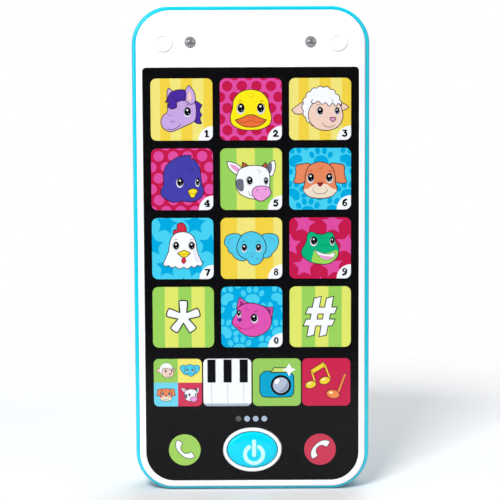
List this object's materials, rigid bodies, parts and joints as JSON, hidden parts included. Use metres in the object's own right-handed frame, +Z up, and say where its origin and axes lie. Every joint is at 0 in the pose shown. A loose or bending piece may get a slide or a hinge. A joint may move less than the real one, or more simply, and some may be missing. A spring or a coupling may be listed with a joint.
{
  "type": "toy cell phone",
  "caption": "Toy phone for toddlers: white front in a teal tub, printed keypad film over sprung keys, oval power button, lamps, rear speaker and screwed battery door.",
  "frame": {"origin": "centre of the bounding box's bottom, on the bottom edge that the phone stands on", "axes": "+Z up along the phone's length, -Y out of the screen towards the user, +Y out of the back, +X to the right seen from the front"},
  "size_m": [0.08, 0.023, 0.165],
  "materials": {
    "white_shell": "glossy",
    "teal_shell": "glossy",
    "teal_button": "glossy",
    "black_film": "glossy",
    "key_plate": "matte",
    "lamp_lens": "glossy",
    "silicone": "matte",
    "circuit_board": "satin",
    "epoxy": "glossy",
    "steel": "satin",
    "nickel_plate": "polished",
    "ferrite": "matte",
    "speaker_paper": "matte",
    "cell_sleeve": "glossy",
    "red_wire": "satin",
    "black_wire": "satin"
  },
  "bodies": {
    "phone_body": {"front_housing": "white_shell", "rear_housing": "teal_shell", "keypad_film": "black_film", "lamp_left": "lamp_lens", "lamp_right": "lamp_lens", "dome_mat": "silicone", "circuit_board": "circuit_board", "chip_blob": "epoxy", "capacitor": "epoxy", "case_screw_1": "steel", "case_screw_2": "steel", "case_screw_3": "steel", "case_screw_4": "steel", "board_screw_1": "steel", "board_screw_2": "steel", "board_screw_3": "steel", "board_screw_4": "steel", "speaker_frame": "steel", "speaker_cone": "speaker_paper", "speaker_magnet": "ferrite", "battery_left": "cell_sleeve", "battery_right": "cell_sleeve", "battery_spring_left": "nickel_plate", "battery_spring_right": "nickel_plate", "battery_link_plate": "nickel_plate", "battery_plate_positive": "nickel_plate", "battery_plate_negative": "nickel_plate", "battery_wire_red": "red_wire", "battery_wire_black": "black_wire", "speaker_wire_red": "red_wire", "speaker_wire_black": "black_wire"},
    "key_1": {"key_1": "key_plate"},
    "key_2": {"key_2": "key_plate"},
    "key_3": {"key_3": "key_plate"},
    "key_4": {"key_4": "key_plate"},
    "key_5": {"key_5": "key_plate"},
    "key_6": {"key_6": "key_plate"},
    "key_7": {"key_7": "key_plate"},
    "key_8": {"key_8": "key_plate"},
    "key_9": {"key_9": "key_plate"},
    "key_star": {"key_star": "key_plate"},
    "key_0": {"key_0": "key_plate"},
    "key_hash": {"key_hash": "key_plate"},
    "app_key_animals": {"app_key_animals": "key_plate"},
    "app_key_piano": {"app_key_piano": "key_plate"},
    "app_key_camera": {"app_key_camera": "key_plate"},
    "app_key_music": {"app_key_music": "key_plate"},
    "call_key": {"call_key": "key_plate"},
    "hang_up_key": {"hang_up_key": "key_plate"},
    "power_button": {"power_button": "teal_button"},
    "battery_door": {"battery_door": "teal_shell"},
    "door_screw": {"door_screw": "steel"}
  },
  "joints": [
    {"name": "key_1_press", "type": "slide", "parent": "phone_body", "child": "key_1", "axis": [0, 1, 0], "range_m": [0, 0.0005], "stiffness_N_per_m": 1500, "springref_m": -0.0004, "deforming": ["dome_mat"]},
    {"name": "key_2_press", "type": "slide", "parent": "phone_body", "child": "key_2", "axis": [0, 1, 0], "range_m": [0, 0.0005], "stiffness_N_per_m": 1500, "springref_m": -0.0004, "deforming": ["dome_mat"]},
    {"name": "key_3_press", "type": "slide", "parent": "phone_body", "child": "key_3", "axis": [0, 1, 0], "range_m": [0, 0.0005], "stiffness_N_per_m": 1500, "springref_m": -0.0004, "deforming": ["dome_mat"]},
    {"name": "key_4_press", "type": "slide", "parent": "phone_body", "child": "key_4", "axis": [0, 1, 0], "range_m": [0, 0.0005], "stiffness_N_per_m": 1500, "springref_m": -0.0004, "deforming": ["dome_mat"]},
    {"name": "key_5_press", "type": "slide", "parent": "phone_body", "child": "key_5", "axis": [0, 1, 0], "range_m": [0, 0.0005], "stiffness_N_per_m": 1500, "springref_m": -0.0004, "deforming": ["dome_mat"]},
    {"name": "key_6_press", "type": "slide", "parent": "phone_body", "child": "key_6", "axis": [0, 1, 0], "range_m": [0, 0.0005], "stiffness_N_per_m": 1500, "springref_m": -0.0004, "deforming": ["dome_mat"]},
    {"name": "key_7_press", "type": "slide", "parent": "phone_body", "child": "key_7", "axis": [0, 1, 0], "range_m": [0, 0.0005], "stiffness_N_per_m": 1500, "springref_m": -0.0004, "deforming": ["dome_mat"]},
    {"name": "key_8_press", "type": "slide", "parent": "phone_body", "child": "key_8", "axis": [0, 1, 0], "range_m": [0, 0.0005], "stiffness_N_per_m": 1500, "springref_m": -0.0004, "deforming": ["dome_mat"]},
    {"name": "key_9_press", "type": "slide", "parent": "phone_body", "child": "key_9", "axis": [0, 1, 0], "range_m": [0, 0.0005], "stiffness_N_per_m": 1500, "springref_m": -0.0004, "deforming": ["dome_mat"]},
    {"name": "key_star_press", "type": "slide", "parent": "phone_body", "child": "key_star", "axis": [0, 1, 0], "range_m": [0, 0.0005], "stiffness_N_per_m": 1500, "springref_m": -0.0004, "deforming": ["dome_mat"]},
    {"name": "key_0_press", "type": "slide", "parent": "phone_body", "child": "key_0", "axis": [0, 1, 0], "range_m": [0, 0.0005], "stiffness_N_per_m": 1500, "springref_m": -0.0004, "deforming": ["dome_mat"]},
    {"name": "key_hash_press", "type": "slide", "parent": "phone_body", "child": "key_hash", "axis": [0, 1, 0], "range_m": [0, 0.0005], "stiffness_N_per_m": 1500, "springref_m": -0.0004, "deforming": ["dome_mat"]},
    {"name": "app_key_animals_press", "type": "slide", "parent": "phone_body", "child": "app_key_animals", "axis": [0, 1, 0], "range_m": [0, 0.0005], "stiffness_N_per_m": 1500, "springref_m": -0.0004, "deforming": ["dome_mat"]},
    {"name": "app_key_piano_press", "type": "slide", "parent": "phone_body", "child": "app_key_piano", "axis": [0, 1, 0], "range_m": [0, 0.0005], "stiffness_N_per_m": 1500, "springref_m": -0.0004, "deforming": ["dome_mat"]},
    {"name": "app_key_camera_press", "type": "slide", "parent": "phone_body", "child": "app_key_camera", "axis": [0, 1, 0], "range_m": [0, 0.0005], "stiffness_N_per_m": 1500, "springref_m": -0.0004, "deforming": ["dome_mat"]},
    {"name": "app_key_music_press", "type": "slide", "parent": "phone_body", "child": "app_key_music", "axis": [0, 1, 0], "range_m": [0, 0.0005], "stiffness_N_per_m": 1500, "springref_m": -0.0004, "deforming": ["dome_mat"]},
    {"name": "call_key_press", "type": "slide", "parent": "phone_body", "child": "call_key", "axis": [0, 1, 0], "range_m": [0, 0.0005], "stiffness_N_per_m": 1500, "springref_m": -0.0004, "deforming": ["dome_mat"]},
    {"name": "hang_up_key_press", "type": "slide", "parent": "phone_body", "child": "hang_up_key", "axis": [0, 1, 0], "range_m": [0, 0.0005], "stiffness_N_per_m": 1500, "springref_m": -0.0004, "deforming": ["dome_mat"]},
    {"name": "power_button_press", "type": "slide", "parent": "phone_body", "child": "power_button", "axis": [0, 1, 0], "range_m": [0, 0.0008], "stiffness_N_per_m": 1500, "springref_m": -0.0004, "deforming": ["dome_mat"]},
    {"name": "battery_door_hinge", "type": "hinge", "parent": "phone_body", "child": "battery_door", "pos_m": [0, 0.0115, 0.02585], "axis": [-1, 0, 0], "range_deg": [0, 75]},
    {"name": "door_screw_turn", "type": "hinge", "parent": "battery_door", "child": "door_screw", "pos_m": [0, 0.0112, 0.0866], "axis": [0, 1, 0], "continuous": true}
  ]
}
